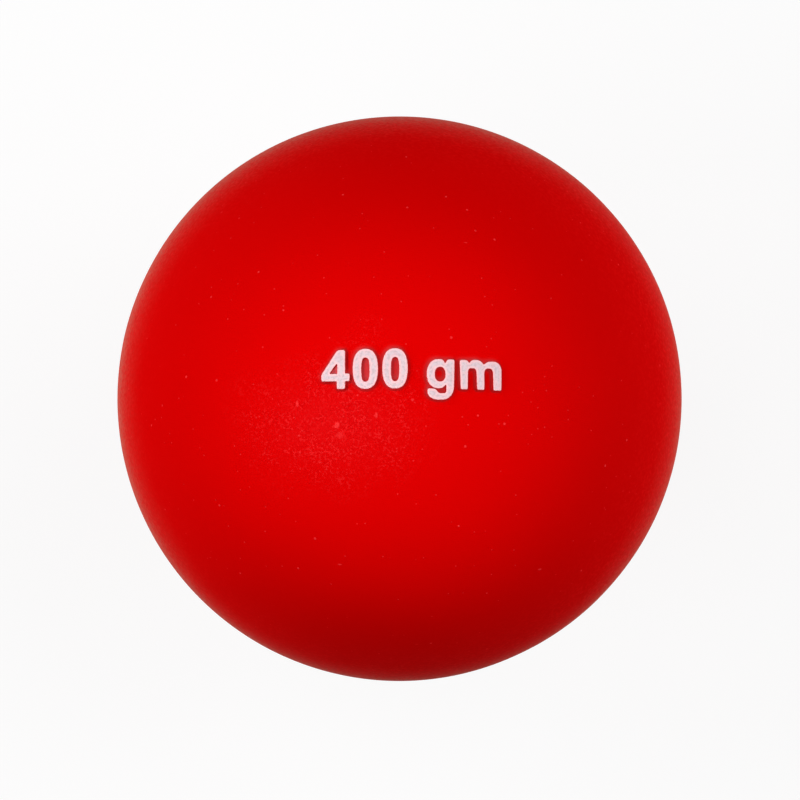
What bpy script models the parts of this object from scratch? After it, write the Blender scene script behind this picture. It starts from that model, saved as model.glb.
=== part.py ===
"""Sand-filled throwing ball for javelin training, with a push-in filler plug.

The ball is a hollow moulding of soft plastic. Sand goes in through a short neck that stands inwards from the skin,
and a barbed plug is pushed into the neck until its head lies flush with the small flat that the ball rests on.
All three pieces are turned about the Z axis. The origin is on the floor under the ball, and +Z is up.
"""

import math

import bpy

MM = 0.001

# The skin
BALL_DIAMETER = 80.0 * MM
SKIN_THICKNESS = 4.0 * MM
LAND_WIDTH = 0.7 * MM           # flat ring of skin round the plug's head
NECK_RISE = 6.6 * MM            # how far the neck stands in from the skin's inner face, on the axis
NECK_WALL = 2.7 * MM            # how much wider the neck is than the plug's seat, on each side
NECK_ROOT_RADIUS = 2.5 * MM     # fillet where the neck meets the skin
NECK_RIM_RADIUS = 1.0 * MM      # rounding of the neck's inner end

# The plug
HEAD_DIAMETER = 12.0 * MM
HEAD_THICKNESS = 1.7 * MM
HEAD_EDGE_RADIUS = 0.4 * MM
GATE_DIAMETER = 2.0 * MM        # dimple left by the moulding gate in the middle of the head
GATE_DEPTH = 0.5 * MM
WAIST_DIAMETER = 6.4 * MM
BARB_GRIP = 1.1 * MM            # how far the barb reaches out past the neck's bore
BARB_EDGE = 0.6 * MM            # height of the barb's straight edge
BARB_LENGTH = 4.0 * MM          # height of the taper above that edge
BARB_TAPER = 1.9 * MM           # how much smaller the tip's radius is than the barb's
TIP_EDGE_RADIUS = 0.7 * MM

# The filling
HEADSPACE = 5.0 * MM            # air left under the crown after the sand has settled

# Between two pieces that touch
CLEARANCE = 0.3 * MM

# Facets
TURNS = 60                      # flats round each turned piece
PLUG_TURNS = 48
SKIN_STEP = 5.0                 # degrees between points on the ball's outside
INSIDE_STEP = 7.5               # degrees between points on the skin's inside and on the sand
EDGE_STEP = 22.5                # degrees between points on a small rounding

# Sizes that follow from those above
ball_radius = BALL_DIAMETER / 2
inner_radius = ball_radius - SKIN_THICKNESS
head_radius = HEAD_DIAMETER / 2
seat_radius = head_radius + CLEARANCE
flat_radius = seat_radius + LAND_WIDTH
seat_height = HEAD_THICKNESS + CLEARANCE
waist_radius = WAIST_DIAMETER / 2
bore_radius = waist_radius + CLEARANCE
neck_radius = seat_radius + NECK_WALL
barb_radius = bore_radius + BARB_GRIP
ball_centre = math.sqrt(ball_radius**2 - flat_radius**2)
neck_end = ball_centre - inner_radius + NECK_RISE
barb_base = neck_end + CLEARANCE
barb_edge_top = barb_base + BARB_EDGE
tip_height = barb_edge_top + BARB_LENGTH
tip_radius = barb_radius - BARB_TAPER
sand_radius = inner_radius - CLEARANCE
sand_level = ball_centre + inner_radius - HEADSPACE


def arc(centre, radius, start, end, step):
    """Points on a circle from one angle to another, in degrees from the radial direction towards +Z."""
    count = max(1, math.ceil(abs(end - start) / step))
    points = []
    for i in range(count + 1):
        angle = math.radians(start + (end - start) * i / count)
        x = centre[0] + radius * math.cos(angle)
        z = centre[1] + radius * math.sin(angle)
        points.append((x, z))
    return points


def turned(name, outline, turns, material):
    """A solid of revolution. The outline starts and ends on the axis and runs down the outer side."""
    mesh = bpy.data.meshes.new(name)
    corners = [(x, 0.0, z) for x, z in outline]
    edges = [(i, i + 1) for i in range(len(corners) - 1)]
    mesh.from_pydata(corners, edges, [])
    piece = bpy.data.objects.new(name, mesh)
    bpy.context.collection.objects.link(piece)
    screw = piece.modifiers.new("turn", "SCREW")
    screw.axis = "Z"
    screw.angle = math.tau
    screw.steps = turns
    screw.render_steps = turns
    screw.use_merge_vertices = True
    screw.merge_threshold = 0.00001
    screw.use_smooth_shade = True
    mesh.materials.append(material)
    return piece


def finish(name, colour, roughness):
    """A plain Principled material."""
    material = bpy.data.materials.new(name)
    material.use_nodes = True
    shader = material.node_tree.nodes["Principled BSDF"]
    shader.inputs["Base Color"].default_value = (*colour, 1.0)
    shader.inputs["Roughness"].default_value = roughness
    shader.inputs["Metallic"].default_value = 0.0
    material.diffuse_color = (*colour, 1.0)
    return material


def neck_outside(gap):
    """The neck's outer wall, a gap away from it, from the skin's inner face up to and over the rim.

    The fillet at the root touches the skin's inner sphere and the neck's wall. Its circle, and that of the rim,
    keep their centres when the gap grows, so an outline with a gap is everywhere that far from one without.
    """
    root_x = neck_radius + NECK_ROOT_RADIUS
    root_z = ball_centre - math.sqrt((inner_radius - NECK_ROOT_RADIUS) ** 2 - root_x**2)
    slope = math.degrees(math.atan2(root_z - ball_centre, root_x))
    root = arc((root_x, root_z), NECK_ROOT_RADIUS - gap, slope, -180.0, EDGE_STEP)
    rim_centre = (neck_radius - NECK_RIM_RADIUS, neck_end - NECK_RIM_RADIUS)
    rim = arc(rim_centre, NECK_RIM_RADIUS + gap, 0.0, 90.0, EDGE_STEP)
    return root + rim, slope


def barb(gap):
    """The barb and its tip, a gap away from them, from the barb's lower edge up to the axis."""
    lean = math.atan2(BARB_TAPER, BARB_LENGTH)
    edge_rise = gap * math.tan(lean / 2)
    tip_turn = 90.0 - math.degrees(lean)
    tip_setback = TIP_EDGE_RADIUS * math.tan(math.radians(tip_turn / 2))
    tip_centre = (tip_radius - tip_setback, tip_height - TIP_EDGE_RADIUS)
    tip = arc(tip_centre, TIP_EDGE_RADIUS + gap, math.degrees(lean), 90.0, EDGE_STEP)
    lower = [(barb_radius + gap, barb_base), (barb_radius + gap, barb_edge_top + edge_rise)]
    return lower + tip + [(0.0, tip_height + gap)]


def ball_shell(material):
    """The moulded skin: sphere outside, flat and seat below, neck with its bore, and sphere inside."""
    flat_angle = math.degrees(math.asin(ball_centre / ball_radius))
    outside = arc((0.0, ball_centre), ball_radius, 90.0, -flat_angle, SKIN_STEP)
    outside[0] = (0.0, ball_centre + ball_radius)
    seat = [(seat_radius, 0.0), (seat_radius, seat_height), (bore_radius, seat_height)]
    bore = [(bore_radius, neck_end)]
    neck, slope = neck_outside(0.0)
    inside = arc((0.0, ball_centre), inner_radius, slope, 90.0, INSIDE_STEP)
    inside[-1] = (0.0, ball_centre + inner_radius)
    return turned("ball_shell", outside + seat + bore + neck[::-1] + inside[1:], TURNS, material)


def filler_plug(material):
    """The plug: barb, waist, and head with a rounded edge and the gate's dimple."""
    top = barb(0.0)[::-1]
    waist = [(waist_radius, barb_base), (waist_radius, HEAD_THICKNESS), (head_radius, HEAD_THICKNESS)]
    edge_centre = (head_radius - HEAD_EDGE_RADIUS, HEAD_EDGE_RADIUS)
    edge = arc(edge_centre, HEAD_EDGE_RADIUS, 0.0, -90.0, EDGE_STEP)
    gate_radius = GATE_DIAMETER / 2
    bowl_radius = (gate_radius**2 + GATE_DEPTH**2) / (2 * GATE_DEPTH)
    bowl_half = math.degrees(math.asin(gate_radius / bowl_radius))
    bowl = arc((0.0, GATE_DEPTH - bowl_radius), bowl_radius, 90.0 - bowl_half, 90.0, EDGE_STEP)
    bowl[-1] = (0.0, GATE_DEPTH)
    return turned("filler_plug", top + waist + edge + bowl, PLUG_TURNS, material)


def sand_fill(material):
    """The settled sand: level on top, round against the skin, and packed about the neck and the barb."""
    level_angle = math.degrees(math.asin((sand_level - ball_centre) / sand_radius))
    neck, slope = neck_outside(CLEARANCE)
    side = arc((0.0, ball_centre), sand_radius, level_angle, slope, INSIDE_STEP)
    return turned("sand_fill", [(0.0, sand_level)] + side[:-1] + neck + barb(CLEARANCE), TURNS, material)


for old in list(bpy.data.objects):
    bpy.data.objects.remove(old, do_unlink=True)

soft_plastic = finish("red_soft_plastic", (0.80, 0.004, 0.006), 0.55)
plug_plastic = finish("red_plug_plastic", (0.62, 0.004, 0.006), 0.5)
dry_sand = finish("dry_sand", (0.52, 0.40, 0.26), 0.95)

ball_shell(soft_plastic)
filler_plug(plug_plastic)
sand_fill(dry_sand)
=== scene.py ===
"""A red sand-filled throwing ball with its weight raised on the crown, seen from just off straight above.

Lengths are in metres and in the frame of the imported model: the origin is on the floor under the ball, and
+Z is up. The characters of the mark are laid out on a flat sheet in millimetres, x to the right and y up,
and the sheet's origin is then set on the crown.
"""

import math
from collections import namedtuple

import bmesh
import bpy
from mathutils import Matrix, Vector
from mathutils.geometry import delaunay_2d_cdt
from mathutils.kdtree import KDTree


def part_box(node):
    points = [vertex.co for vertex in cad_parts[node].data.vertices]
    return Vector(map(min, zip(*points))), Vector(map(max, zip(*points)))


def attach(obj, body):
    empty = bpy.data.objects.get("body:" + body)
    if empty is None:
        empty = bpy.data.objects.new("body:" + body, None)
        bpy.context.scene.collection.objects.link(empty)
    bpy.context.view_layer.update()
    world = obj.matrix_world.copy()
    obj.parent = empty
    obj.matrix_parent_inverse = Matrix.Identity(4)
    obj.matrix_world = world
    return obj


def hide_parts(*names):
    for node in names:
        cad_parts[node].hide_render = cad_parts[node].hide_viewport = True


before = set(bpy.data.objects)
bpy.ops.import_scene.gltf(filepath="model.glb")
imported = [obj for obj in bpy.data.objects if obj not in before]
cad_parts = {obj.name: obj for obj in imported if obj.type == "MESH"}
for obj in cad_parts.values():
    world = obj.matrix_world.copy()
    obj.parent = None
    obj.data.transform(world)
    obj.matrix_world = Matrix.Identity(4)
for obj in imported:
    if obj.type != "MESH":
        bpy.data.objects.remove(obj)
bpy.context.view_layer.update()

MM = 0.001

# The ball, from the frame
shell_low, shell_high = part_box("ball_shell")
plug_low, plug_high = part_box("filler_plug")
sand_low, sand_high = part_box("sand_fill")
CLEARANCE = 0.3 * MM            # between the skin, the plug and the sand
FACETS_LOST = 0.03 * MM         # how much the solid sand's flat facets take off its radius
BALL_RADIUS = (shell_high.x - shell_low.x) / 2
BALL_CENTRE = shell_high.z - BALL_RADIUS
SAND_RADIUS = (sand_high.y - sand_low.y) / 2 + FACETS_LOST
INNER_RADIUS = SAND_RADIUS + CLEARANCE
SAND_LEVEL = sand_high.z
HEAD_RADIUS = (plug_high.x - plug_low.x) / 2
SEAT_RADIUS = HEAD_RADIUS + CLEARANCE

# The neck and the plug, for which the frame's boxes give no sizes
NECK_RISE = 6.6 * MM
NECK_WALL = 2.7 * MM
NECK_ROOT_RADIUS = 2.5 * MM
NECK_RIM_RADIUS = 1.0 * MM
NECK_END = BALL_CENTRE - INNER_RADIUS + NECK_RISE
NECK_RADIUS = SEAT_RADIUS + NECK_WALL
HEAD_THICKNESS = 1.7 * MM
HEAD_EDGE_RADIUS = 0.4 * MM
GATE_RADIUS = 1.0 * MM
GATE_DEPTH = 0.5 * MM
WAIST_RADIUS = 3.2 * MM
BORE_RADIUS = WAIST_RADIUS + CLEARANCE
BARB_RADIUS = BORE_RADIUS + 1.1 * MM
BARB_BASE = NECK_END + CLEARANCE
BARB_EDGE_TOP = BARB_BASE + 0.6 * MM
TIP_HEIGHT = plug_high.z
TIP_RADIUS = BARB_RADIUS - 1.9 * MM
TIP_EDGE_RADIUS = 0.7 * MM

# The moulding's parting line round the widest part
SEAM_HEIGHT = 0.06 * MM
SEAM_WIDTH = 0.5 * MM
SEAM_STEPS = 8                  # facets across it

# How many steps a piece is turned in, and the angle in degrees past which two faces meet in a sharp edge
SKIN_TURNS = 320
PLUG_TURNS = 96
SAND_TURNS = 160
SHARP_ON_TURNED = 30.0
SHARP_ON_MARK = 50.0

# The skin is even round the mark and at the plug, and slightly uneven between them
UNEVENNESS = 0.10 * MM          # from the deepest dent to the highest swell
LUMP_SIZE = 22.0 * MM
EVEN_CROWN = 20.0               # degrees from the crown that are even
UNEVEN_AFTER = 30.0             # degrees over which the unevenness comes in there
EVEN_BEFORE_FLAT = 25.0         # degrees over which it goes out again above the flat

# The sand's level top is uneven too
SAND_UNEVENNESS = 0.5 * MM
SAND_LUMP_SIZE = 4.0 * MM
SAND_RINGS = 24                 # rings of points on it

# The raised mark
MARK_RISE = 0.46 * MM           # how far the characters stand out of the skin
MARK_EDGE_RADIUS = 0.14 * MM    # rounding of their upper edges
MARK_SINK = 0.10 * MM           # how far their solids reach into the skin
PAINT_EDGE_WIDTH = 0.54 * MM    # how far in from an edge the paint is paler
MARK_ANGLE = 18.0               # degrees from the crown that the mark and what is round it take up
OUTLINE_SPACING = 0.11          # millimetres on the flat sheet between points of an outline
FILLING_SPACING = 0.16          # and between the points inside it
EDGE_STEPS = 5                  # facets across the rounded upper edge

# The trace of paint round the characters reaches further to their upper left, a lean that stands in for
# light falling on that side
TRACE_REACH = 0.80 * MM
TRACE_SHIFT_TOWARDS_LIGHT = Vector((-0.12, 0.12, 0.0)) * MM


def on_skin(x, y):
    """The place on the skin over a point that is x and y millimetres from the ball's axis."""
    return (x * MM, y * MM, BALL_CENTRE + math.sqrt(BALL_RADIUS**2 - (x * MM) ** 2 - (y * MM) ** 2))


# Two spots beside the mark with a painted highlight, drawn as light scuffs whose raised strokes are painted
# bright as glints. The larger one has a pale chip and a smudge.
SCUFFED_HIGHLIGHT_SPOT = on_skin(-9.6, -6.6)
SMALL_SCUFFED_HIGHLIGHT_SPOT = on_skin(-5.8, 4.6)
CHIP = on_skin(-9.3, -6.9)
SMUDGE = on_skin(-8.9, -8.2)

# The skin in the counters of the figures has some paint on it: where, how tall (1 is round), and how much
PAINTED_COUNTERS = [
    (on_skin(-9.54, -0.07), 1.0, 1.00),
    (on_skin(-5.73, -0.05), 1.8, 0.31),
    (on_skin(-2.07, 0.00), 1.8, 0.18),
]

# The largest nibs on the skin, which are painted pale as glints, and two short pieces of lint
NIBS = [
    on_skin(6.8, -9.5),
    on_skin(11.8, -6.6),
    on_skin(5.0, 4.1),
    on_skin(0.1, -3.8),
    on_skin(10.9, 17.4),
    on_skin(34.2, 2.7),
    on_skin(28.8, -7.8),
    on_skin(25.7, -11.3),
    on_skin(3.4, -34.4),
    on_skin(-12.0, -20.9),
    on_skin(-24.7, -0.6),
    on_skin(-28.8, 0.2),
]
LINT = [on_skin(-4.4, -5.7), on_skin(-14.3, -4.1)]

# The camera
CAMERA_LENS = 100.0             # in millimetres
SENSOR_WIDTH = 36.0             # in millimetres
CAMERA_DISTANCE = 317.5 * MM    # from the ball's centre
CAMERA_TILT_FRONT = 5.19        # degrees from straight above, towards -Y
CAMERA_TILT_LEFT = 2.18         # and towards -X
AIM_RIGHT = 0.064 * MM          # the aim passes this far beside the ball's centre, as the photo is framed
AIM_DOWN = 0.206 * MM

# The floor and the lamps
FLOOR_REACH = 3.0               # from its middle to each side
FLOOR_WHITE = 0.15              # the share of light that the floor gives back
FLOOR_GLOW = 0.87               # the rest of the white that is seen
LAMP_DISTANCE = 1.2             # from the ball's centre
SOFT_LAMP_WIDTH = 0.9
NARROW_LAMP_RADIUS = 4.0 * MM


class Value:
    """A node's output that takes part in Python expressions. Each operator adds a Math node."""

    def __init__(self, graph, socket):
        self.graph = graph
        self.socket = socket

    def __add__(self, other):
        return self.graph.math("ADD", self, other)

    def __sub__(self, other):
        return self.graph.math("SUBTRACT", self, other)

    def __rsub__(self, other):
        return self.graph.math("SUBTRACT", other, self)

    def __mul__(self, other):
        return self.graph.math("MULTIPLY", self, other)

    def __truediv__(self, other):
        return self.graph.math("DIVIDE", self, other)

    def __rtruediv__(self, other):
        return self.graph.math("DIVIDE", other, self)

    def __pow__(self, other):
        return self.graph.math("POWER", self, other)

    __radd__ = __add__
    __rmul__ = __mul__


class Graph:
    """A node tree that is written as calls and expressions."""

    def __init__(self, tree):
        self.tree = tree

    def node(self, kind, settings=None, sockets=None, output=0):
        """Adds a node, sets it, fills its sockets with numbers or links, and gives one of its outputs."""
        node = self.tree.nodes.new(kind)
        for name, value in (settings or {}).items():
            setattr(node, name, value)
        for name, value in (sockets or {}).items():
            if isinstance(value, Value):
                self.tree.links.new(value.socket, node.inputs[name])
            else:
                node.inputs[name].default_value = value
        return Value(self, node.outputs[output])

    def math(self, operation, *values):
        return self.node("ShaderNodeMath", {"operation": operation}, dict(enumerate(values)))

    def step(self, value, low, high):
        """0 up to low, 1 from high, and a smooth rise between them. With low above high it falls."""
        sockets = {"Value": value, "From Min": low, "From Max": high}
        return self.node("ShaderNodeMapRange", {"interpolation_type": "SMOOTHSTEP"}, sockets)

    def mix(self, share, first, second):
        """A colour between two colours."""
        return self.node("ShaderNodeMix", {"data_type": "RGBA"}, {0: share, 6: first, 7: second}, output=2)

    def place(self, centre=(0.0, 0.0, 0.0)):
        """The point on the piece, measured from a centre."""
        point = self.node("ShaderNodeTexCoord", output="Object")
        return self.node("ShaderNodeVectorMath", {"operation": "SUBTRACT"}, {0: point, 1: centre})

    def noise(self, point, size, detail=2.0, roughness=0.5):
        """Smooth noise from 0 to 1 whose lumps are about a size across."""
        sockets = {"Vector": point, "Scale": 1.0 / size, "Detail": detail, "Roughness": roughness}
        return self.node("ShaderNodeTexNoise", None, sockets)

    def ridges(self, point, size):
        """Noise from 0 to 1 whose highest values are thin curved lines about a size apart."""
        bands = self.noise(point, size, 1.0, 0.4)
        return 1.0 - self.math("ABSOLUTE", bands - 0.5) * 4.0

    def cells(self, point, size, output="Distance"):
        """The distance to the nearest of points about a size apart, or that point's random colour."""
        return self.node("ShaderNodeTexVoronoi", None, {"Vector": point, "Scale": 1.0 / size}, output)

    def scattered(self, point, size, radius, share):
        """Dots of a radius round a share of the points that are scattered about a size apart."""
        limit = 0.5 + (0.5 - share) * 0.6
        chosen = self.step(self.cells(point, size, "Color"), limit, limit + 0.02)
        return self.step(self.cells(point, size), 1.4 * radius / size, 0.6 * radius / size) * chosen

    def stretched(self, point, factors):
        """The place with each axis times a factor. Below 1, it draws a pattern out along that axis."""
        return self.node("ShaderNodeVectorMath", {"operation": "MULTIPLY"}, {0: point, 1: factors})

    def length(self, vector):
        return self.node("ShaderNodeVectorMath", {"operation": "LENGTH"}, {0: vector}, "Value")

    def dot(self, vector, direction):
        sockets = {0: vector, 1: direction}
        return self.node("ShaderNodeVectorMath", {"operation": "DOT_PRODUCT"}, sockets, "Value")

    def most(self, values):
        """The largest of some values."""
        largest = values[0]
        for value in values[1:]:
            largest = self.math("MAXIMUM", largest, value)
        return largest

    def attribute(self, name):
        """A number that is stored on the piece."""
        return self.node("ShaderNodeAttribute", {"attribute_name": name}, output="Fac")

    def bump(self, height, depth, below=None):
        """A surface normal for a height from 0 to 1 that stands for a real depth."""
        sockets = {"Height": height, "Distance": depth, "Strength": 1.0}
        if below is not None:
            sockets["Normal"] = below
        return self.node("ShaderNodeBump", None, sockets)


def link(value, node, name):
    """Leads a value to one of a node's sockets."""
    value.graph.tree.links.new(value.socket, node.inputs[name])


# Trees of geometry nodes

def new_tree(title, kinds):
    """A graph of geometry nodes, the identifiers of its inputs by name, and the inputs in their order."""
    tree = bpy.data.node_groups.new(title, "GeometryNodeTree")
    identifiers = {}
    for name, kind in kinds.items():
        identifiers[name] = tree.interface.new_socket(name, in_out="INPUT", socket_type=kind).identifier
    tree.interface.new_socket("Piece", in_out="OUTPUT", socket_type="NodeSocketGeometry")
    graph = Graph(tree)
    given = tree.nodes.new("NodeGroupInput")
    return graph, identifiers, [Value(graph, given.outputs[name]) for name in kinds]


def end_tree(graph, geometry, finish):
    """The end of a tree: any instances are made real, and the finish is set."""
    real = graph.node("GeometryNodeRealizeInstances", None, {"Geometry": geometry})
    done = graph.node("GeometryNodeSetMaterial", None, {"Geometry": real, "Material": finish})
    link(done, graph.tree.nodes.new("NodeGroupOutput"), "Piece")


def apply_tree(piece, tree, identifiers, values):
    """Runs a tree of geometry nodes on a piece and keeps the result as the piece's plain mesh."""
    modifier = piece.modifiers.new(tree.name, "NODES")
    modifier.node_group = tree
    for name, value in values.items():
        modifier[identifiers[name]] = value
    bpy.context.view_layer.update()
    evaluated = piece.evaluated_get(bpy.context.evaluated_depsgraph_get())
    mesh = bpy.data.meshes.new_from_object(evaluated)
    piece.modifiers.remove(modifier)
    piece.data = mesh
    mesh.name = piece.name


# Profiles and turned pieces

def arc(centre, radius, start, end, step):
    """Points about a step apart on a circle, in degrees from the radial direction towards +Z."""
    count = max(1, math.ceil(abs(end - start) / step))
    points = []
    for i in range(count + 1):
        angle = math.radians(start + (end - start) * i / count)
        x = centre[0] + radius * math.cos(angle)
        z = centre[1] + radius * math.sin(angle)
        points.append((x, z))
    return points


def turning_tree():
    """Geometry nodes that turn a profile about the Z axis into a closed piece and make it slightly uneven.

    The turn goes clockwise as seen from above, so that the faces of a profile that runs down its outer side
    point outwards.
    """
    kinds = {
        "Profile": "NodeSocketGeometry",
        "Turns": "NodeSocketInt",
        "Unevenness": "NodeSocketFloat",
        "Lump Size": "NodeSocketFloat",
        "Finish": "NodeSocketMaterial",
    }
    graph, identifiers, inputs = new_tree("turned piece", kinds)
    profile, turns, unevenness, lump_size, finish = inputs

    count = graph.node("GeometryNodeAttributeDomainSize", None, {"Geometry": profile}, "Point Count")
    sheet = graph.node("GeometryNodeMeshGrid", None, {"Vertices X": turns + 1, "Vertices Y": count})
    index = graph.node("GeometryNodeInputIndex")
    on_profile = graph.math("MODULO", index, count)
    turn = graph.math("FLOOR", (index + 0.5) / count)
    angle = turn * -math.tau / turns

    place = graph.node("GeometryNodeInputPosition")
    sample = {"Geometry": profile, "Value": place, "Index": on_profile}
    point = graph.node("GeometryNodeSampleIndex", {"data_type": "FLOAT_VECTOR"}, sample)
    radius = graph.node("ShaderNodeSeparateXYZ", None, {0: point}, "X")
    height = graph.node("ShaderNodeSeparateXYZ", None, {0: point}, "Z")
    x = radius * graph.math("COSINE", angle)
    y = radius * graph.math("SINE", angle)
    ring = graph.node("ShaderNodeCombineXYZ", None, {"X": x, "Y": y, "Z": height})
    turned = graph.node("GeometryNodeSetPosition", None, {"Geometry": sheet, "Position": ring})

    give = graph.node("GeometryNodeInputNamedAttribute", {"data_type": "FLOAT"}, {"Name": "give"})
    sample = {"Geometry": profile, "Value": give, "Index": on_profile}
    give_here = graph.node("GeometryNodeSampleIndex", {"data_type": "FLOAT"}, sample)
    kept = {"Geometry": turned, "Name": "give", "Value": give_here}
    turned = graph.node("GeometryNodeStoreNamedAttribute", {"data_type": "FLOAT", "domain": "POINT"}, kept)
    closed = graph.node("GeometryNodeMergeByDistance", None, {"Geometry": turned, "Distance": 0.001 * MM})

    normal = graph.node("GeometryNodeInputNormal")
    swell = (graph.noise(place, lump_size) - 0.5) * unevenness * give
    offset = graph.node("ShaderNodeVectorMath", {"operation": "SCALE"}, {0: normal, "Scale": swell})
    uneven = graph.node("GeometryNodeSetPosition", None, {"Geometry": closed, "Offset": offset})
    smooth = graph.node("GeometryNodeSetShadeSmooth", None, {"Geometry": uneven, "Shade Smooth": True})
    end_tree(graph, smooth, finish)
    return graph.tree, identifiers


def turned_piece(name, profile, turns, finish, unevenness=0.0, lump_size=10.0 * MM):
    """A closed piece turned from a profile of (radius, height, give), which runs down its outer side."""
    mesh = bpy.data.meshes.new(name)
    corners = [(x, 0.0, z) for x, z, _ in profile]
    mesh.from_pydata(corners, [(i, i + 1) for i in range(len(corners) - 1)], [])
    mesh.attributes.new("give", "FLOAT", "POINT").data.foreach_set("value", [g for _, _, g in profile])
    piece = bpy.data.objects.new(name, mesh)
    bpy.context.collection.objects.link(piece)
    values = {"Turns": turns, "Unevenness": unevenness, "Lump Size": lump_size, "Finish": finish}
    apply_tree(piece, *turning, values)
    piece.data.set_sharp_from_angle(angle=math.radians(SHARP_ON_TURNED))
    return piece


def still(points):
    """Profile points that the unevenness leaves alone."""
    return [(x, z, 0.0) for x, z in points]


def neck_outside(gap):
    """The neck's outer wall, a gap away from it, from the skin's inner face up to and over the rim."""
    root_x = NECK_RADIUS + NECK_ROOT_RADIUS
    root_z = BALL_CENTRE - math.sqrt((INNER_RADIUS - NECK_ROOT_RADIUS) ** 2 - root_x**2)
    slope = math.degrees(math.atan2(root_z - BALL_CENTRE, root_x))
    root = arc((root_x, root_z), NECK_ROOT_RADIUS - gap, slope, -180.0, 6.0)
    rim_centre = (NECK_RADIUS - NECK_RIM_RADIUS, NECK_END - NECK_RIM_RADIUS)
    rim = arc(rim_centre, NECK_RIM_RADIUS + gap, 0.0, 90.0, 9.0)
    return root + rim, slope


def barb(gap):
    """The barb and its tip, a gap away from them, from the barb's lower edge up to the axis."""
    lean = math.atan2(BARB_RADIUS - TIP_RADIUS, TIP_HEIGHT - BARB_EDGE_TOP)
    edge_rise = gap * math.tan(lean / 2)
    tip_turn = math.pi / 2 - lean
    tip_setback = TIP_EDGE_RADIUS * math.tan(tip_turn / 2)
    tip_centre = (TIP_RADIUS - tip_setback, TIP_HEIGHT - TIP_EDGE_RADIUS)
    tip = arc(tip_centre, TIP_EDGE_RADIUS + gap, math.degrees(lean), 90.0, 9.0)
    lower = [(BARB_RADIUS + gap, BARB_BASE), (BARB_RADIUS + gap, BARB_EDGE_TOP + edge_rise)]
    return lower + tip + [(0.0, TIP_HEIGHT + gap)]


def skin_profile():
    """The skin from the crown over the parting line to the flat, through the neck and up inside again."""
    points = [(0.0, BALL_CENTRE + BALL_RADIUS, 0.0)]
    flat_angle = -math.degrees(math.asin(BALL_CENTRE / BALL_RADIUS))
    seam_half = math.degrees(SEAM_WIDTH / 2 / BALL_RADIUS)
    crown = arc((0.0, BALL_CENTRE), BALL_RADIUS, 90.0, 90.0 - MARK_ANGLE, 0.3)[1:]
    above = arc((0.0, BALL_CENTRE), BALL_RADIUS, 90.0 - MARK_ANGLE, 2 * seam_half, 1.5)[1:]
    seam = []
    for i in range(1, SEAM_STEPS):
        share = 2 * i / SEAM_STEPS - 1
        angle = math.radians(-share * seam_half)
        radius = BALL_RADIUS + SEAM_HEIGHT * math.cos(share * math.pi / 2) ** 2
        seam.append((radius * math.cos(angle), BALL_CENTRE + radius * math.sin(angle)))
    below = arc((0.0, BALL_CENTRE), BALL_RADIUS, -2 * seam_half, flat_angle, 1.5)
    for x, z in crown + above + seam + below:
        from_crown = math.degrees(math.atan2(x, z - BALL_CENTRE))
        rise = min(1.0, max(0.0, (from_crown - EVEN_CROWN) / UNEVEN_AFTER))
        fall = min(1.0, max(0.0, (90.0 - flat_angle - from_crown) / EVEN_BEFORE_FLAT))
        points.append((x, z, rise * fall))
    seat = [(SEAT_RADIUS, 0.0), (SEAT_RADIUS, HEAD_THICKNESS + CLEARANCE)]
    bore = [(BORE_RADIUS, HEAD_THICKNESS + CLEARANCE), (BORE_RADIUS, NECK_END)]
    neck, slope = neck_outside(0.0)
    inside = arc((0.0, BALL_CENTRE), INNER_RADIUS, slope, 90.0, 4.0)[1:-1]
    crown_inside = [(0.0, BALL_CENTRE + INNER_RADIUS)]
    return points + still(seat + bore + neck[::-1] + inside + crown_inside)


def plug_profile():
    """The plug from its tip down the barb and the waist, round the head's edge and into its dimple."""
    waist = [(WAIST_RADIUS, BARB_BASE), (WAIST_RADIUS, HEAD_THICKNESS), (HEAD_RADIUS, HEAD_THICKNESS)]
    edge_centre = (HEAD_RADIUS - HEAD_EDGE_RADIUS, HEAD_EDGE_RADIUS)
    edge = arc(edge_centre, HEAD_EDGE_RADIUS, 0.0, -90.0, 9.0)
    bowl_radius = (GATE_RADIUS**2 + GATE_DEPTH**2) / (2 * GATE_DEPTH)
    bowl_half = math.degrees(math.asin(GATE_RADIUS / bowl_radius))
    bowl = arc((0.0, GATE_DEPTH - bowl_radius), bowl_radius, 90.0 - bowl_half, 90.0, 9.0)
    bowl[-1] = (0.0, GATE_DEPTH)
    return still(barb(0.0)[::-1] + waist + edge + bowl)


def sand_profile():
    """The sand from the middle of its top down its side, round the neck and over the barb."""
    rim_angle = math.degrees(math.asin((SAND_LEVEL - BALL_CENTRE) / SAND_RADIUS))
    neck, slope = neck_outside(CLEARANCE)
    side = arc((0.0, BALL_CENTRE), SAND_RADIUS, rim_angle, slope, 3.0)[:-1]
    top = []
    for i in range(SAND_RINGS):
        share = i / SAND_RINGS
        top.append((side[0][0] * share, SAND_LEVEL, 1.0 - share**4))
    return top + still(side + neck + barb(CLEARANCE))


# The characters of the mark

Corner = namedtuple("Corner", "x y before after fullness")


def corner(x, y, before, after=None, fullness=0.6):
    """A corner of an outline, rounded over a reach along the edge before it and the edge after it."""
    return Corner(x, y, before, before if after is None else after, fullness)


def oval(x, y, half_width, half_height, fullness):
    """A closed oval in a box. The fuller it is, the closer it comes to the box's corners."""
    return [
        corner(x - half_width, y + half_height, half_height, half_width, fullness),
        corner(x + half_width, y + half_height, half_width, half_height, fullness),
        corner(x + half_width, y - half_height, half_height, half_width, fullness),
        corner(x - half_width, y - half_height, half_width, half_height, fullness),
    ]


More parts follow.
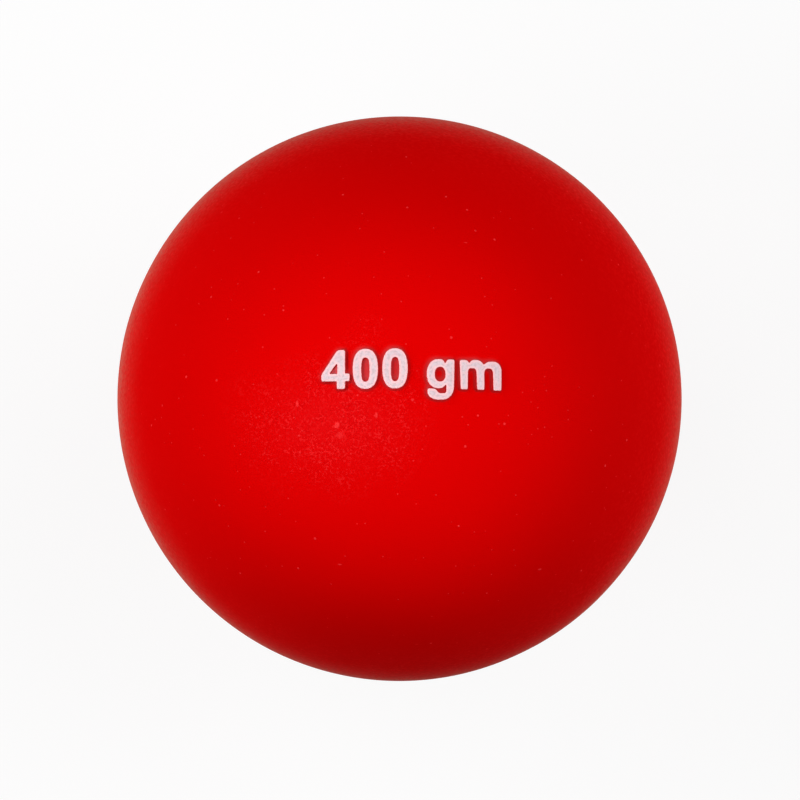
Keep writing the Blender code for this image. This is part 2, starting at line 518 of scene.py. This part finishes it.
def figure_four():
    outer = [
        corner(-11.35, -1.50, 0.22),
        corner(-11.35, -0.60, 0.25, 0.30),
        corner(-9.30, 2.50, 0.35, 0.25),
        corner(-8.26, 2.50, 0.30),
        corner(-8.26, -0.46, 0.10),
        corner(-7.69, -0.46, 0.24),
        corner(-7.69, -1.50, 0.24),
        corner(-8.27, -1.50, 0.10),
        corner(-8.27, -2.46, 0.22),
        corner(-9.38, -2.46, 0.22),
        corner(-9.38, -1.50, 0.10),
    ]
    counter = [corner(-10.24, -0.48, 0.14), corner(-9.32, 0.76, 0.22), corner(-9.32, -0.48, 0.10)]
    return [outer, counter]


def figure_nought(x, y):
    return [oval(x, y, 1.61, 2.55, 0.66), oval(x + 0.01, y - 0.10, 0.475, 1.465, 0.74)]


def letter_g():
    outer = [
        corner(4.14, 0.80, 0.10),
        corner(4.40, 1.29, 0.20),
        corner(5.36, 1.29, 0.28),
        corner(5.24, -3.80, 1.70, 1.50),
        corner(1.86, -3.80, 1.50, 1.10),
        corner(1.92, -2.33, 0.22),
        corner(2.95, -2.33, 0.40, 0.35),
        corner(3.35, -2.92, 0.25, 0.35),
        corner(4.26, -2.92, 0.30),
        corner(4.24, -1.92, 0.12),
        corner(3.85, -2.40, 0.40, 0.50),
        corner(1.81, -2.40, 1.50, 1.75),
        corner(1.81, 1.31, 1.90, 1.45),
        corner(3.95, 1.31, 0.45),
    ]
    return [outer, oval(3.51, -0.60, 0.63, 0.865, 0.62)]


def letter_m():
    outer = [
        corner(6.07, -2.47, 0.22),
        corner(5.92, 1.27, 0.35),
        corner(6.97, 1.27, 0.32),
        corner(7.17, 0.90, 0.10),
        corner(7.55, 1.31, 0.42, 0.35),
        corner(8.60, 1.31, 0.50, 0.45),
        corner(9.07, 0.74, 0.10),
        corner(9.52, 1.15, 0.45),
        corner(11.43, 1.15, 1.10, 1.30),
        corner(11.40, -2.56, 0.22),
        corner(10.29, -2.56, 0.22),
        corner(10.20, 0.18, 0.50, 0.45),
        corner(9.15, 0.18, 0.50, 0.55),
        corner(9.17, -2.50, 0.22),
        corner(8.17, -2.50, 0.22),
        corner(8.05, 0.17, 0.45, 0.35),
        corner(7.06, 0.17, 0.35, 0.50),
        corner(7.02, -2.47, 0.22),
    ]
    return [outer]


def rounded(corners, spacing):
    """Points about a spacing apart along a closed outline whose corners are rounded."""
    outline = []
    for i, here in enumerate(corners):
        tip = Vector((here.x, here.y))
        last = corners[i - 1]
        coming = corners[(i + 1) % len(corners)]
        start = tip + (Vector((last.x, last.y)) - tip).normalized() * here.before
        end = tip + (Vector((coming.x, coming.y)) - tip).normalized() * here.after
        handle_in = start.lerp(tip, here.fullness)
        handle_out = end.lerp(tip, here.fullness)
        about_its_length = 1.3 * (end - start).length
        steps = max(4, math.ceil(about_its_length / spacing))
        for k in range(steps + 1):
            t = k / steps
            s = 1 - t
            coming_in = start * s**3 + handle_in * 3 * s * s * t
            going_out = handle_out * 3 * s * t * t + end * t**3
            outline.append(coming_in + going_out)
    nearly_touching = 0.2 * spacing
    longest = 1.5 * spacing
    points = []
    for a, b in zip(outline, outline[1:] + outline[:1]):
        gap = (b - a).length
        if gap > nearly_touching:
            cuts = math.ceil(gap / longest)
            points += [a.lerp(b, k / cuts) for k in range(cuts)]
    return points


def shifted(loop, distance):
    """A loop moved sideways into the stroke that it bounds, which lies to its left."""
    moved = []
    for i, point in enumerate(loop):
        before = (point - loop[i - 1]).normalized()
        after = (loop[(i + 1) % len(loop)] - point).normalized()
        side = Vector((-before.y - after.y, before.x + after.x)).normalized()
        spread = max(0.5, side.dot(Vector((-after.y, after.x))))
        moved.append(point + side * distance / spread)
    return moved


def inside(point, loops):
    """Whether a point lies inside an odd number of the loops."""
    crossings = 0
    for loop in loops:
        for a, b in zip(loop, loop[1:] + loop[:1]):
            if (a.y > point.y) != (b.y > point.y):
                crossings += point.x < a.x + (point.y - a.y) * (b.x - a.x) / (b.y - a.y)
    return crossings % 2 == 1


def filled(loops, spacing):
    """Points and triangles over the stroke between an outer loop and its counters.

    The loops' own points come first.
    """
    bound = [point for loop in loops for point in loop]
    edges = []
    for loop in loops:
        first = len(edges)
        edges += [(first + i, first + (i + 1) % len(loop)) for i in range(len(loop))]
    points = list(bound)
    left = min(point.x for point in bound)
    right = max(point.x for point in bound)
    foot = min(point.y for point in bound)
    head = max(point.y for point in bound)
    row_height = spacing * math.sqrt(3) / 2
    clear_of_bound = 0.6 * spacing
    for row in range(int((head - foot) / row_height) + 1):
        for column in range(int((right - left) / spacing) + 1):
            point = Vector((left + (column + 0.5 * (row % 2)) * spacing, foot + row * row_height))
            if inside(point, loops) and min((point - other).length for other in bound) > clear_of_bound:
                points.append(point)
    within_the_outer_loop = 1
    tolerance = 0.000001
    made, _, faces, _, _, _ = delaunay_2d_cdt(points, edges, [], within_the_outer_loop, tolerance)
    if len(made) != len(points):
        raise ValueError("an outline of the mark crosses itself")
    triangles = []
    for face in faces:
        middle = (made[face[0]] + made[face[1]] + made[face[2]]) / 3
        if not inside(middle, loops[1:]):
            triangles.append(face)
    return points, triangles


def character(name, outlines, finish):
    """A raised character: its wall, its rounded upper edge and its filled top, laid round the ball."""
    loops = [rounded(outline, OUTLINE_SPACING) for outline in outlines]
    for k, loop in enumerate(loops):
        area = sum(a.x * b.y - a.y * b.x for a, b in zip(loop, loop[1:] + loop[:1]))
        if (area > 0) != (k == 0):
            loop.reverse()
    levels = [(0.0, -MARK_SINK)]
    for i in range(EDGE_STEPS + 1):
        angle = math.radians(90.0 * i / EDGE_STEPS)
        inset = MARK_EDGE_RADIUS * (1 - math.cos(angle)) / MM
        levels.append((inset, MARK_RISE - MARK_EDGE_RADIUS * (1 - math.sin(angle))))

    build = bmesh.new()
    edge_share = build.verts.layers.float.new("edge")

    def add_point(point, height, share):
        made = build.verts.new((point.x * MM, point.y * MM, height))
        made[edge_share] = share
        return made

    rings = []
    for inset, height in levels:
        ring = []
        for loop in loops:
            ring += [add_point(point, height, 1.0) for point in shifted(loop, inset)]
        rings.append(ring)
    for lower, upper in zip(rings, rings[1:]):
        first = 0
        for loop in loops:
            for i in range(len(loop)):
                a = first + i
                b = first + (i + 1) % len(loop)
                build.faces.new((lower[a], lower[b], upper[b], upper[a]))
            first += len(loop)

    bound = [point for loop in loops for point in loop]
    points, triangles = filled([shifted(loop, levels[-1][0]) for loop in loops], FILLING_SPACING)
    top = list(rings[-1])
    bottom = list(rings[0])
    for point in points[len(bound):]:
        reach = min((point - other).length for other in bound) * MM
        top.append(add_point(point, MARK_RISE, max(0.0, 1.0 - reach / PAINT_EDGE_WIDTH)))
        bottom.append(add_point(point, -MARK_SINK, 0.0))
    for a, b, c in triangles:
        build.faces.new((top[a], top[b], top[c]))
        build.faces.new((bottom[a], bottom[c], bottom[b]))
    bmesh.ops.recalc_face_normals(build, faces=build.faces)
    for face in build.faces:
        face.smooth = True
    mesh = bpy.data.meshes.new(name)
    build.to_mesh(mesh)
    build.free()
    piece = bpy.data.objects.new(name, mesh)
    bpy.context.collection.objects.link(piece)
    values = {"Ball Radius": BALL_RADIUS, "Ball Centre": BALL_CENTRE, "Finish": finish}
    apply_tree(piece, *wrapping, values)
    piece.data.set_sharp_from_angle(angle=math.radians(SHARP_ON_MARK))
    return piece


def store_what_is_near(skin, characters, limit):
    """Stores on the skin how far each point is from the nearest character, and how much paint is near it.

    Both look no further than a limit. The second is 1 where there is the most.
    """
    middle = Vector((0.0, 0.0, BALL_CENTRE))
    corners = [corner.co for piece in characters for corner in piece.data.vertices]
    feet = [corner for corner in corners if (corner - middle).length < BALL_RADIUS]
    tree = KDTree(len(feet))
    for i, foot in enumerate(feet):
        tree.insert(foot, i)
    tree.balance()
    distances = []
    amounts = []
    for corner in skin.data.vertices:
        distances.append(min(limit, tree.find(corner.co)[2]))
        found = tree.find_range(corner.co - TRACE_SHIFT_TOWARDS_LIGHT, limit)
        amounts.append(sum(1 - gap / limit for _, _, gap in found))
    most = max(amounts)
    shares = [amount / most for amount in amounts]
    skin.data.attributes.new("from mark", "FLOAT", "POINT").data.foreach_set("value", distances)
    skin.data.attributes.new("paint near", "FLOAT", "POINT").data.foreach_set("value", shares)


def wrapping_tree():
    """Geometry nodes that lay a flat piece round the ball, with its origin on the crown."""
    kinds = {
        "Flat Piece": "NodeSocketGeometry",
        "Ball Radius": "NodeSocketFloat",
        "Ball Centre": "NodeSocketFloat",
        "Finish": "NodeSocketMaterial",
    }
    graph, identifiers, inputs = new_tree("laid round the ball", kinds)
    flat, radius, centre, finish = inputs
    place = graph.node("GeometryNodeInputPosition")
    x, y, z = [graph.node("ShaderNodeSeparateXYZ", None, {0: place}, axis) for axis in "XYZ"]
    nearly_none = 0.0001 * MM
    reach = graph.math("MAXIMUM", graph.math("SQRT", x * x + y * y), nearly_none)
    angle = reach / radius
    sideways = graph.math("SINE", angle) * (radius + z) / reach
    up = graph.math("COSINE", angle) * (radius + z) + centre
    laid = graph.node("ShaderNodeCombineXYZ", None, {"X": x * sideways, "Y": y * sideways, "Z": up})
    moved = graph.node("GeometryNodeSetPosition", None, {"Geometry": flat, "Position": laid})
    end_tree(graph, moved, finish)
    return graph.tree, identifiers


# Materials

# The skin's reds, from its plain colour to the paint and lint on it, and the painted highlight, glints,
# shade and sheen
RED = (0.80, 0.0002, 0.0004, 1.0)
RED_DEEP = (0.72, 0.0001, 0.0003, 1.0)
RED_DEEPEST = (0.56, 0.001, 0.002, 1.0)
# Painted shade on the characters' unpainted walls
RED_WALL_SHADE = (0.55, 0.0002, 0.0007, 1.0)
# Painted shade along the characters' foot
RED_FOOT_SHADE = (0.50, 0.004, 0.005, 1.0)
# Painted shade: the darker red of the sunk strokes in the highlight spots
RED_GROOVE_SHADE = (0.64, 0.0004, 0.0015, 1.0)
# Painted highlight: the paler red over the larger scuffed spot
RED_HIGHLIGHT_HAZE = (0.80, 0.014, 0.018, 1.0)
RED_TRACE = (0.67, 0.034, 0.036, 1.0)
RED_PAINTED = (0.86, 0.120, 0.140, 1.0)
# Painted glints: the bright red of the scuffs' raised strokes
RED_SCUFF_GLINT = (0.97, 0.024, 0.026, 1.0)
# Painted glints of the grain down the skin's sides
RED_GRAIN_GLINT = (0.97, 0.010, 0.010, 1.0)
# Painted glints on the nibs, and the pale colour of the chip, the smudge and the lint
RED_PALE_MARK_AND_GLINT = (1.00, 0.036, 0.038, 1.0)
# Painted sheen at the skin's rim
RED_PAINTED_SHEEN = (0.60, 0.290, 0.210, 1.0)

# The tints of what the skin and the plug mirror
SKIN_GLOSS = (1.00, 0.02, 0.03, 1.0)
PLUG_GLOSS = (1.00, 0.12, 0.10, 1.0)

# The white paint and the sand
EDGE_PAINT = (0.98, 0.62, 0.65, 1.0)
WORN_PAINT = (0.82, 0.64, 0.69, 1.0)
THIN_PAINT = (0.68, 0.50, 0.54, 1.0)
SAND = (0.52, 0.40, 0.26, 1.0)
SAND_PALE = (0.62, 0.50, 0.34, 1.0)
SAND_BROWN = (0.36, 0.26, 0.16, 1.0)
SAND_DARK = (0.08, 0.07, 0.06, 1.0)


def new_material(name, colour, roughness):
    """A Principled material, its graph and its shader node."""
    material = bpy.data.materials.new(name)
    material.use_nodes = True
    shader = material.node_tree.nodes["Principled BSDF"]
    shader.inputs["Base Color"].default_value = colour
    shader.inputs["Roughness"].default_value = roughness
    return material, Graph(material.node_tree), shader


def scuffed_highlight_share(graph, point, from_spot):
    """1 in the middle of the larger spot of scuffs and painted highlight, less in the smaller one, and 0
    away from both.
    """
    uneven_edge = (graph.noise(point, 5.0 * MM) - 0.5) * 6.0 * MM
    in_spot = graph.step(from_spot + uneven_edge, 12.5 * MM, 3.5 * MM)
    from_small_spot = graph.length(graph.stretched(graph.place(SMALL_SCUFFED_HIGHLIGHT_SPOT), (0.7, 1.0, 1.0)))
    in_small_spot = graph.step(from_small_spot, 3.5 * MM, 1.0 * MM)
    return graph.math("MAXIMUM", in_spot, in_small_spot * 0.4)


def scuff_glints_and_grooves(graph, point, scuffed_highlight):
    """Short raised strokes painted bright as glints and short sunk ones painted darker as shade, in the
    painted highlight.
    """
    patches = graph.step(graph.noise(point, 2.2 * MM, 1.0), 0.38, 0.62)
    broken = graph.step(graph.noise(point, 0.36 * MM, 1.0), 0.46, 0.56)
    marks = scuffed_highlight * (patches * 0.65 + 0.35)
    scuff_glints = graph.step(graph.ridges(point, 0.46 * MM), 0.62, 0.92) * broken * marks
    other_point = graph.place((5.0 * MM, 0.0, 0.0))
    grooves = graph.step(graph.ridges(other_point, 0.50 * MM), 0.66, 0.95) * (1 - broken) * marks
    return scuff_glints, grooves


def specks_and_glints_on_skin(graph, point, scuffed_highlight):
    """The chip, the smudge, the large nibs and the lint, and small nibs and lint scattered over the skin.
    The nibs are painted pale as glints, most thickly in the painted highlight.
    """
    wobble = (graph.noise(point, 0.5 * MM, 1.0) - 0.5) * 0.5 * MM
    from_chip = graph.length(graph.place(CHIP)) + wobble
    from_smudge = graph.length(graph.stretched(graph.place(SMUDGE), (0.6, 1.0, 1.0))) + wobble
    threads = graph.stretched(point, (0.35, 1.0, 0.6))
    specks_and_glints = [
        graph.step(from_chip, 0.44 * MM, 0.26 * MM) * 0.9,
        graph.step(from_smudge, 0.50 * MM, 0.20 * MM) * 0.35,
        graph.scattered(point, 0.80 * MM, 0.10 * MM, 0.35) * scuffed_highlight * 0.56,
        graph.scattered(point, 1.1 * MM, 0.10 * MM, 0.35) * 0.6,
        graph.scattered(point, 2.7 * MM, 0.14 * MM, 0.25),
        graph.scattered(threads, 3.4 * MM, 0.12 * MM, 0.25) * 0.7,
    ]
    for nib in NIBS:
        specks_and_glints.append(graph.step(graph.length(graph.place(nib)), 0.22 * MM, 0.10 * MM) * 0.8)
    for lint in LINT:
        from_lint = graph.length(graph.stretched(graph.place(lint), (1.0, 0.45, 1.0)))
        specks_and_glints.append(graph.step(from_lint, 0.22 * MM, 0.10 * MM) * 0.8)
    return graph.most(specks_and_glints)


def painted_rim_sheen(graph, point):
    """How much painted sheen shows at a low angle, in patches: most on the left at the back, less in front
    and on the right.
    """
    facing_away = graph.node("ShaderNodeLayerWeight", None, {"Blend": 0.5}, "Facing")
    front = graph.step(graph.dot(point, (0.0, 1.0, 0.0)) / BALL_RADIUS, -0.50, -0.85)
    right = graph.step(graph.dot(point, (0.87, 0.5, 0.0)) / BALL_RADIUS, 0.70, 1.00)
    left_at_back = graph.dot(point, (-0.7, 0.7, 0.0)) * 0.26 / BALL_RADIUS
    amount = (left_at_back + 1.0) * (1 - front * 0.45) * (1 - right * 0.5) * 0.15
    sheen_patches = graph.step(graph.noise(point, 0.50 * MM, 2.0), 0.35, 0.65) * 0.8 + 0.60
    sheen = (facing_away * 1.21) ** (front * 5.0 + 9.5) * amount * sheen_patches - 0.008
    return graph.math("MINIMUM", sheen, 0.36)


def moulded_plastic():
    """Soft plastic, scuffed beside the mark under a painted highlight where the scuffs are painted bright as
    glints, with nibs painted pale as glints and lint, and with a grain that is painted brighter down its
    sides as glints.

    Round the raised characters it has a trace of their paint, which leans to their upper left as painted
    light and is more in their counters, and it is painted darker along their foot as painted shade. Seen at
    a low angle the skin has a thin painted sheen.
    """
    material, graph, shader = new_material("moulded_red_plastic", RED, 0.5)
    point = graph.place((0.0, 0.0, BALL_CENTRE))
    red = graph.mix(graph.noise(point, 7.0 * MM) * 0.30, RED, RED_DEEP)

    from_spot = graph.length(graph.stretched(graph.place(SCUFFED_HIGHLIGHT_SPOT), (0.72, 1.08, 0.30)))
    scuffed_highlight = scuffed_highlight_share(graph, point, from_spot)
    scuff_glints, grooves = scuff_glints_and_grooves(graph, point, scuffed_highlight)
    # Painted highlight: the skin is paler over the larger spot
    red = graph.mix(graph.step(from_spot, 10.0 * MM, 0.0) * 0.21, red, RED_HIGHLIGHT_HAZE)
    # Painted shade in the sunk strokes, and painted glints on the raised ones
    red = graph.mix(grooves * 0.50, red, RED_GROOVE_SHADE)
    red = graph.mix(scuff_glints * 0.55, red, RED_SCUFF_GLINT)

    # Painted shade: the skin is darker along the characters' foot
    foot = graph.step(graph.attribute("from mark"), 0.38 * MM, 0.20 * MM)
    red = graph.mix(foot * 0.95, red, RED_FOOT_SHADE)
    # A trace of paint round the characters, leaning to their upper left as painted light
    red = graph.mix(graph.attribute("paint near") ** 2.0 * 3.0, red, RED_TRACE)
    for counter, tallness, share in PAINTED_COUNTERS:
        from_counter = graph.length(graph.stretched(graph.place(counter), (1.0, 1.0 / tallness, 1.0)))
        red = graph.mix(graph.step(from_counter, 0.90 * MM, 0.50 * MM) * share, red, RED_PAINTED)

    specks_and_glints = specks_and_glints_on_skin(graph, point, scuffed_highlight)
    # The nibs painted pale as glints, and the pale chip, smudge and lint
    red = graph.mix(specks_and_glints, red, RED_PALE_MARK_AND_GLINT)
    # Painted glints: the grain is painted brighter down the sides, away from the crown
    down_the_side = graph.step(graph.dot(point, (-0.10, -0.12, 1.0)) / BALL_RADIUS, 0.75, 0.05)
    grain_glints = graph.step(graph.noise(point, 0.48 * MM, 2.0), 0.40, 0.75) * down_the_side
    red = graph.mix(grain_glints, red, RED_GRAIN_GLINT)
    # Painted sheen: the skin is mixed towards a paler, greyer red at a low angle
    link(graph.mix(painted_rim_sheen(graph, point), red, RED_PAINTED_SHEEN), shader, "Base Color")

    link(graph.noise(point, 3.0 * MM) * 0.10 + 0.63, shader, "Roughness")
    normal = graph.bump(graph.noise(point, 1.8 * MM), 0.010 * MM)
    normal = graph.bump(graph.noise(point, 0.30 * MM, 3.0, 0.6), 0.004 * MM, normal)
    normal = graph.bump(specks_and_glints + (scuff_glints - grooves + grain_glints) * 0.3, 0.030 * MM, normal)
    link(normal, shader, "Normal")
    shader.inputs["Specular IOR Level"].default_value = 0.015
    shader.inputs["Specular Tint"].default_value = SKIN_GLOSS
    return material


def character_paint():
    """White paint on the characters, paler at their edges and worn on top. Their foot is bare plastic,
    painted darker than the skin as painted shade.
    """
    material, graph, shader = new_material("white_mark_paint", WORN_PAINT, 0.5)
    point = graph.place((0.0, 0.0, BALL_CENTRE))
    height = (graph.length(point) - BALL_RADIUS) / MARK_RISE
    ragged = graph.noise(point, 0.25 * MM, 3.0) - 0.5
    painted = graph.step(height + ragged * 0.16, 0.87, 0.99)
    uneven_edge = (graph.noise(point, 0.35 * MM) - 0.5) * 0.45
    paler_edge = graph.step(graph.attribute("edge") + uneven_edge, 0.32, 0.64)
    thin = graph.step(graph.noise(point, 0.38 * MM, 3.0, 0.6), 0.42, 0.66)
    full = graph.step(graph.noise(point, 0.7 * MM, 2.0), 0.48, 0.66)
    paint = graph.mix(full * 0.7, WORN_PAINT, EDGE_PAINT)
    paint = graph.mix(thin * 0.85, paint, THIN_PAINT)
    paint = graph.mix(paler_edge, paint, EDGE_PAINT)
    # Below the paint the walls are painted a darker red as painted shade
    link(graph.mix(painted, RED_WALL_SHADE, paint), shader, "Base Color")
    link(graph.bump(graph.noise(point, 0.3 * MM, 3.0), 0.012 * MM), shader, "Normal")
    shader.inputs["Specular IOR Level"].default_value = 0.3
    return material


def plug_plastic():
    """The plug's own plastic, a little deeper and smoother than the skin's."""
    material, graph, shader = new_material("plug_red_plastic", RED_DEEP, 0.4)
    point = graph.place()
    link(graph.mix(graph.noise(point, 2.5 * MM) * 0.5, RED_DEEP, RED_DEEPEST), shader, "Base Color")
    link(graph.noise(point, 1.2 * MM) * 0.15 + 0.33, shader, "Roughness")
    link(graph.bump(graph.noise(point, 0.35 * MM, 3.0), 0.012 * MM), shader, "Normal")
    shader.inputs["Specular Tint"].default_value = PLUG_GLOSS
    return material


def packed_sand():
    """Dry quartz sand: pale, brown and a few dark grains, each about half a millimetre across."""
    material, graph, shader = new_material("packed_dry_sand", SAND, 0.95)
    point = graph.place()
    grain_size = 0.45 * MM
    chance = graph.cells(point, grain_size, "Color")
    sand = graph.mix(graph.step(chance, 0.1, 0.9), SAND_PALE, SAND_BROWN)
    sand = graph.mix(graph.step(chance, 0.90, 0.93), sand, SAND_DARK)
    link(sand, shader, "Base Color")
    link(graph.bump(1 - graph.cells(point, grain_size), 0.2 * MM), shader, "Normal")
    return material


# Camera, floor and light

def make_camera():
    data = bpy.data.cameras.new("camera")
    data.lens = CAMERA_LENS
    data.sensor_width = SENSOR_WIDTH
    data.clip_start = 0.01
    data.clip_end = 20.0
    camera = bpy.data.objects.new("camera", data)
    bpy.context.collection.objects.link(camera)
    x = -math.sin(math.radians(CAMERA_TILT_LEFT))
    y = -math.sin(math.radians(CAMERA_TILT_FRONT))
    back = Vector((x, y, math.sqrt(1 - x * x - y * y)))
    right = Vector((0.0, 1.0, 0.0)).cross(back).normalized()
    up = back.cross(right)
    centre = Vector((0.0, 0.0, BALL_CENTRE))
    camera.location = centre + back * CAMERA_DISTANCE + right * AIM_RIGHT - up * AIM_DOWN
    camera.rotation_euler = Matrix((right, up, back)).transposed().to_euler()
    bpy.context.scene.camera = camera


def seen_directly(graph):
    """1 for camera, mirror and glass rays, and 0 for the light that falls on things."""
    kinds = ("Camera", "Glossy", "Transmission")
    camera, mirror, glass = [graph.node("ShaderNodeLightPath", output=f"Is {kind} Ray") for kind in kinds]
    return graph.math("MINIMUM", camera + mirror + glass, 1.0)


def make_floor():
    """A plain white floor. Part of its white is its own, so that it stays pale round the shadow."""
    mesh = bpy.data.meshes.new("floor")
    corners = [(x * FLOOR_REACH, y * FLOOR_REACH, 0.0) for x, y in ((-1, -1), (1, -1), (1, 1), (-1, 1))]
    mesh.from_pydata(corners, [], [(0, 1, 2, 3)])
    floor = bpy.data.objects.new("floor", mesh)
    bpy.context.collection.objects.link(floor)
    material = bpy.data.materials.new("white_floor")
    material.use_nodes = True
    material.node_tree.nodes.clear()
    graph = Graph(material.node_tree)
    white = (FLOOR_WHITE, FLOOR_WHITE, FLOOR_WHITE, 1.0)
    matt = graph.node("ShaderNodeBsdfDiffuse", None, {"Color": white})
    glow = graph.node("ShaderNodeEmission", None, {"Strength": seen_directly(graph) * FLOOR_GLOW})
    both = graph.node("ShaderNodeAddShader", None, {0: matt, 1: glow})
    link(both, material.node_tree.nodes.new("ShaderNodeOutputMaterial"), "Surface")
    mesh.materials.append(material)


def make_world():
    """White all round, which is seen directly and lights nothing."""
    world = bpy.data.worlds.new("studio")
    world.use_nodes = True
    world.node_tree.nodes.clear()
    graph = Graph(world.node_tree)
    white = {"Color": (1.0, 1.0, 1.0, 1.0), "Strength": seen_directly(graph)}
    light = graph.node("ShaderNodeBackground", None, white)
    link(light, world.node_tree.nodes.new("ShaderNodeOutputWorld"), "Surface")
    bpy.context.scene.world = world


def make_lamp(name, kind, around, above, power):
    """A lamp that faces the ball, from an angle round it (90 is +Y) and an angle above the floor."""
    data = bpy.data.lights.new(name, kind)
    data.energy = power
    lamp = bpy.data.objects.new(name, data)
    bpy.context.collection.objects.link(lamp)
    flat = math.cos(math.radians(above))
    x = math.cos(math.radians(around)) * flat
    y = math.sin(math.radians(around)) * flat
    back = Vector((x, y, math.sin(math.radians(above))))
    lamp.location = Vector((0.0, 0.0, BALL_CENTRE)) + back * LAMP_DISTANCE
    lamp.rotation_mode = "QUATERNION"
    lamp.rotation_quaternion = (-back).to_track_quat("-Z", "Y")
    lamp.visible_camera = False
    return data


def make_soft_lamp(name, around, above, power):
    data = make_lamp(name, "AREA", around, above, power)
    data.shape = "SQUARE"
    data.size = SOFT_LAMP_WIDTH


def make_narrow_lamp(name, around, above, power, reach):
    """A lamp whose light is strongest in its middle and fades out evenly up to a reach from there."""
    data = make_lamp(name, "SPOT", around, above, power)
    data.spot_size = 2 * math.atan(reach / LAMP_DISTANCE)
    data.spot_blend = 1.0
    data.shadow_soft_size = NARROW_LAMP_RADIUS


make_camera()
make_floor()
make_world()
make_soft_lamp("left at the back", around=147.0, above=30.0, power=7.3)
make_soft_lamp("left in front", around=208.0, above=30.0, power=7.1)
make_soft_lamp("right and low", around=358.0, above=15.0, power=7.35)
make_soft_lamp("right and high", around=30.0, above=45.0, power=4.5)
make_narrow_lamp("over the crown", around=255.0, above=79.0, power=15.5, reach=0.8 * BALL_RADIUS)

# The pieces

turning = turning_tree()
wrapping = wrapping_tree()

skin_finish = moulded_plastic()
skin = turned_piece("ball_skin", skin_profile(), SKIN_TURNS, skin_finish, UNEVENNESS, LUMP_SIZE)
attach(skin, "root")
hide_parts("ball_shell")

paint = character_paint()
mark = {
    "mark_4": figure_four(),
    "mark_0_left": figure_nought(-5.76, 0.055),
    "mark_0_right": figure_nought(-2.08, 0.10),
    "mark_g": letter_g(),
    "mark_m": letter_m(),
}
characters = [character(name, outlines, paint) for name, outlines in mark.items()]
for piece in characters:
    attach(piece, "root")
store_what_is_near(skin, characters, TRACE_REACH)

plug = turned_piece("plug", plug_profile(), PLUG_TURNS, plug_plastic())
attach(plug, "root")
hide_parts("filler_plug")

sand = turned_piece("sand", sand_profile(), SAND_TURNS, packed_sand(), SAND_UNEVENNESS, SAND_LUMP_SIZE)
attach(sand, "root")
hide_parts("sand_fill")

bpy.context.scene.view_settings.view_transform = "Standard"
